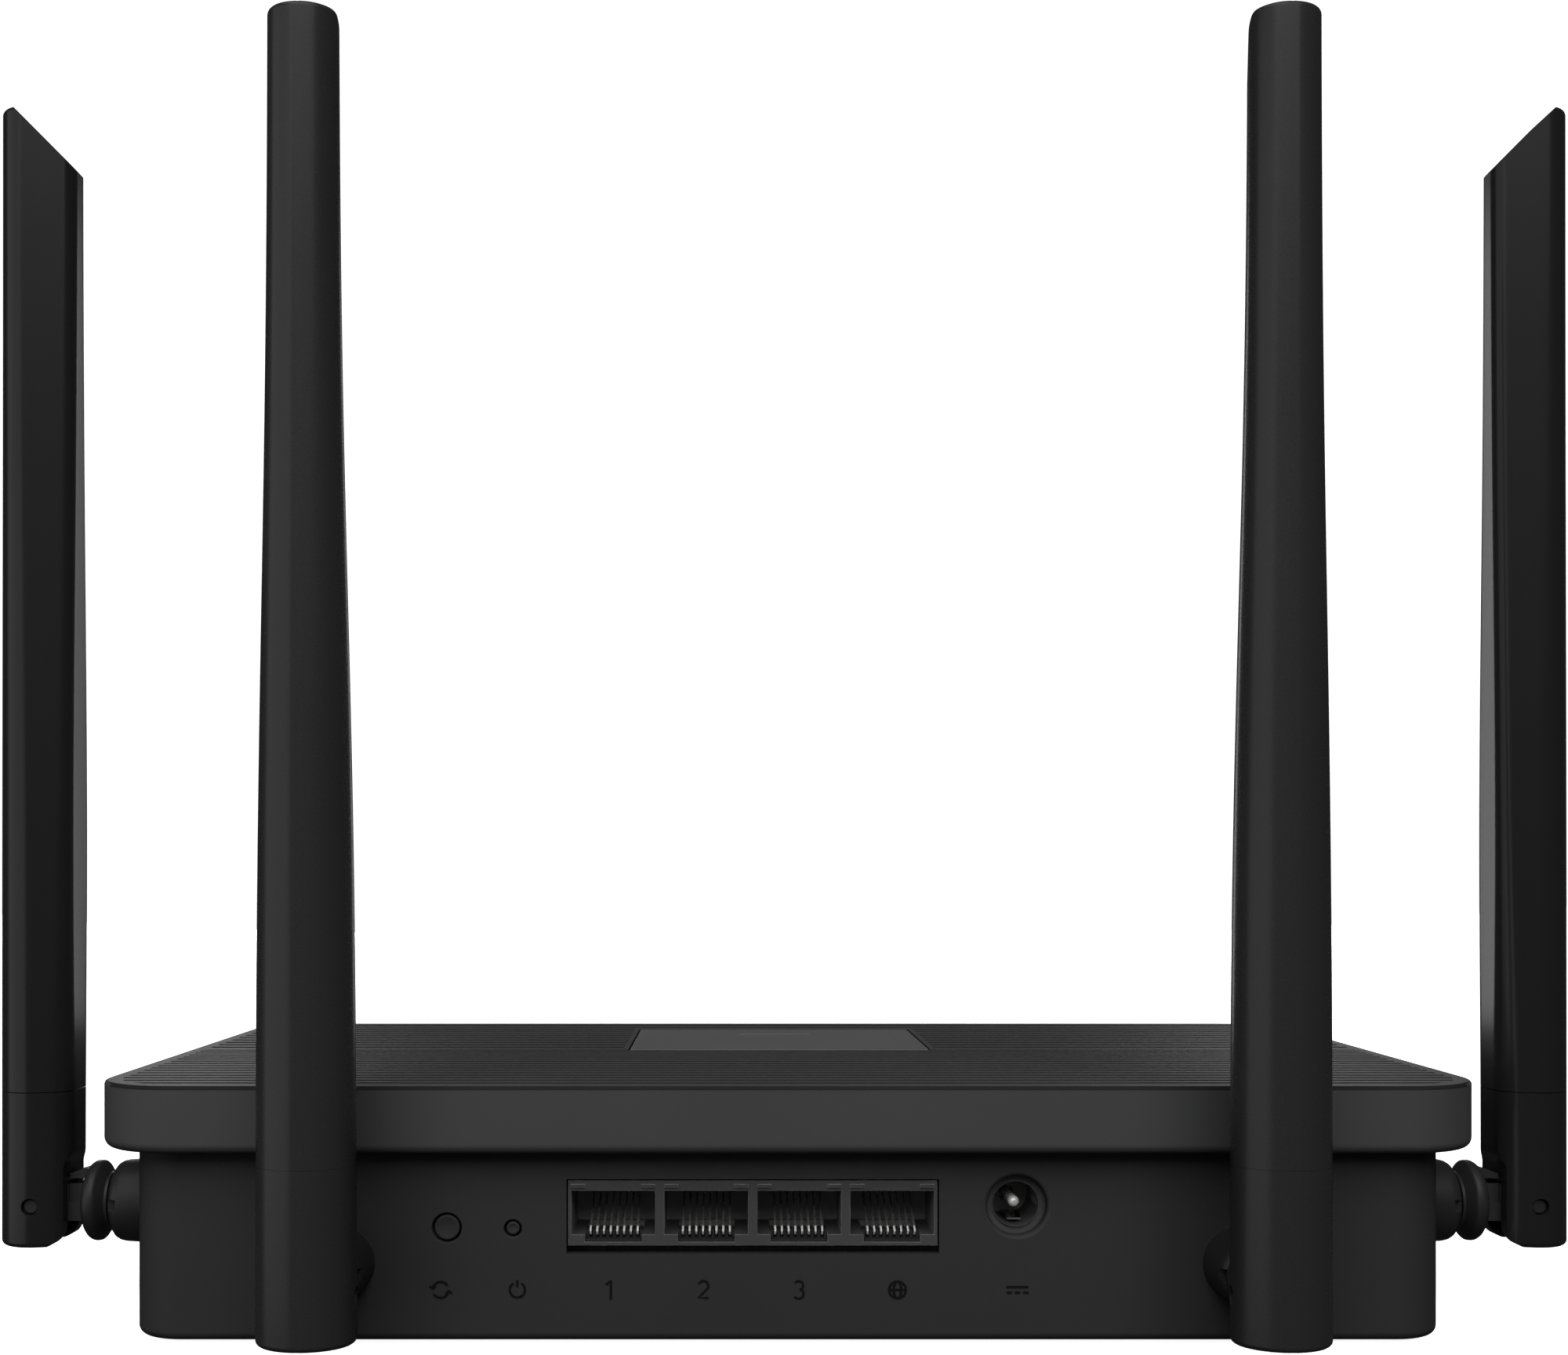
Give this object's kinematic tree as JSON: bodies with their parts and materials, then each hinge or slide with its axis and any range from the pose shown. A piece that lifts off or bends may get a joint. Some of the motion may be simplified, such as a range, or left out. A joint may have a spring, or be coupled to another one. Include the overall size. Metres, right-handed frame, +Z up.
{
  "type": "wireless router",
  "caption": "Flat rectangular wireless router with a ribbed overhanging cover, rear network sockets, a round power inlet, push buttons and swivel-and-tilt blade antennas.",
  "frame": {"origin": "middle of the whole object's footprint, on the surface that the feet stand on", "axes": "+Z up; the socket side faces -Y; +X to the right when looking at the socket side"},
  "size_m": [0.2544, 0.138, 0.1945],
  "materials": {
    "cover": "fine-grained matte moulding, charcoal black",
    "case": "fine-grained matte moulding, darker than the cover",
    "plate": "smooth satin inlay",
    "antenna": "satin matte moulding",
    "housing": "satin socket plastic",
    "dark_plastic": "matte",
    "lens": "smoked, glossy",
    "rubber": "soft matte",
    "silver": "bright plated",
    "steel": "zinc plated",
    "aluminium": "matte",
    "circuit_board": "black solder mask",
    "cable": "smooth jacket",
    "led": "clear epoxy"
  },
  "bodies": {
    "router_body": {"top_cover": "cover", "bottom_case": "case", "badge_plate": "plate", "status_light_lens": "lens", "foot_1": "rubber", "foot_2": "rubber", "foot_3": "rubber", "foot_4": "rubber", "case_screw_1": "steel", "case_screw_2": "steel", "case_screw_3": "steel", "case_screw_4": "steel", "rj45_housing": "housing", "port_contacts_1": "silver", "port_contacts_2": "silver", "port_contacts_3": "silver", "port_contacts_4": "silver", "dc_jack_housing": "dark_plastic", "dc_center_pin": "silver", "dc_spring_contact": "silver", "wps_switch": "dark_plastic", "reset_switch": "dark_plastic", "main_board": "circuit_board", "cpu_heatsink": "aluminium", "shield_can": "steel", "transformer_1": "dark_plastic", "transformer_2": "dark_plastic", "capacitor_1": "aluminium", "capacitor_2": "aluminium", "status_led": "led", "rear_left_mount_bush": "antenna", "rear_left_coax_cable": "cable", "rear_right_mount_bush": "antenna", "rear_right_coax_cable": "cable", "side_left_mount_bush": "antenna", "side_left_coax_cable": "cable", "side_right_mount_bush": "antenna", "side_right_coax_cable": "cable"},
    "rear_left_hub": {"rear_left_swivel_hub": "antenna"},
    "rear_left_antenna": {"rear_left_hinge_pin": "dark_plastic", "rear_left_hinge_sleeve": "antenna", "rear_left_antenna_blade": "antenna", "rear_left_radiator": "circuit_board"},
    "rear_right_hub": {"rear_right_swivel_hub": "antenna"},
    "rear_right_antenna": {"rear_right_hinge_pin": "dark_plastic", "rear_right_hinge_sleeve": "antenna", "rear_right_antenna_blade": "antenna", "rear_right_radiator": "circuit_board"},
    "side_left_hub": {"side_left_swivel_hub": "antenna"},
    "side_left_antenna": {"side_left_hinge_pin": "dark_plastic", "side_left_hinge_sleeve": "antenna", "side_left_antenna_blade": "antenna", "side_left_radiator": "circuit_board"},
    "side_right_hub": {"side_right_swivel_hub": "antenna"},
    "side_right_antenna": {"side_right_hinge_pin": "dark_plastic", "side_right_hinge_sleeve": "antenna", "side_right_antenna_blade": "antenna", "side_right_radiator": "circuit_board"},
    "wps_button_body": {"wps_button": "dark_plastic"},
    "reset_button_body": {"reset_button": "dark_plastic"}
  },
  "joints": [
    {"name": "rear_left_swivel", "type": "hinge", "parent": "router_body", "child": "rear_left_hub", "pos_m": [-0.06755, -0.05135, 0.0124], "axis": [0, 1, 0], "range_deg": [-90, 40]},
    {"name": "rear_left_tilt", "type": "hinge", "parent": "rear_left_hub", "child": "rear_left_antenna", "pos_m": [-0.06755, -0.06265, 0.0124], "axis": [1, 0, 0], "range_deg": [0, 90]},
    {"name": "rear_right_swivel", "type": "hinge", "parent": "router_body", "child": "rear_right_hub", "pos_m": [0.06755, -0.05135, 0.0124], "axis": [0, 1, 0], "range_deg": [-40, 90]},
    {"name": "rear_right_tilt", "type": "hinge", "parent": "rear_right_hub", "child": "rear_right_antenna", "pos_m": [0.06755, -0.06265, 0.0124], "axis": [1, 0, 0], "range_deg": [0, 90]},
    {"name": "side_left_swivel", "type": "hinge", "parent": "router_body", "child": "side_left_hub", "pos_m": [-0.1095, -0.01585, 0.0175], "axis": [1, 0, 0], "range_deg": [-90, 90]},
    {"name": "side_left_tilt", "type": "hinge", "parent": "side_left_hub", "child": "side_left_antenna", "pos_m": [-0.1208, -0.01585, 0.0175], "axis": [0, -1, 0], "range_deg": [0, 90]},
    {"name": "side_right_swivel", "type": "hinge", "parent": "router_body", "child": "side_right_hub", "pos_m": [0.1095, -0.01585, 0.0175], "axis": [-1, 0, 0], "range_deg": [-90, 90]},
    {"name": "side_right_tilt", "type": "hinge", "parent": "side_right_hub", "child": "side_right_antenna", "pos_m": [0.1208, -0.01585, 0.0175], "axis": [0, 1, 0], "range_deg": [0, 90]},
    {"name": "wps_press", "type": "slide", "parent": "router_body", "child": "wps_button_body", "axis": [0, 1, 0], "range_m": [0, 0.0008], "stiffness_N_per_m": 600, "springref_m": -0.0004},
    {"name": "reset_press", "type": "slide", "parent": "router_body", "child": "reset_button_body", "axis": [0, 1, 0], "range_m": [0, 0.0008], "stiffness_N_per_m": 600, "springref_m": -0.0004}
  ]
}
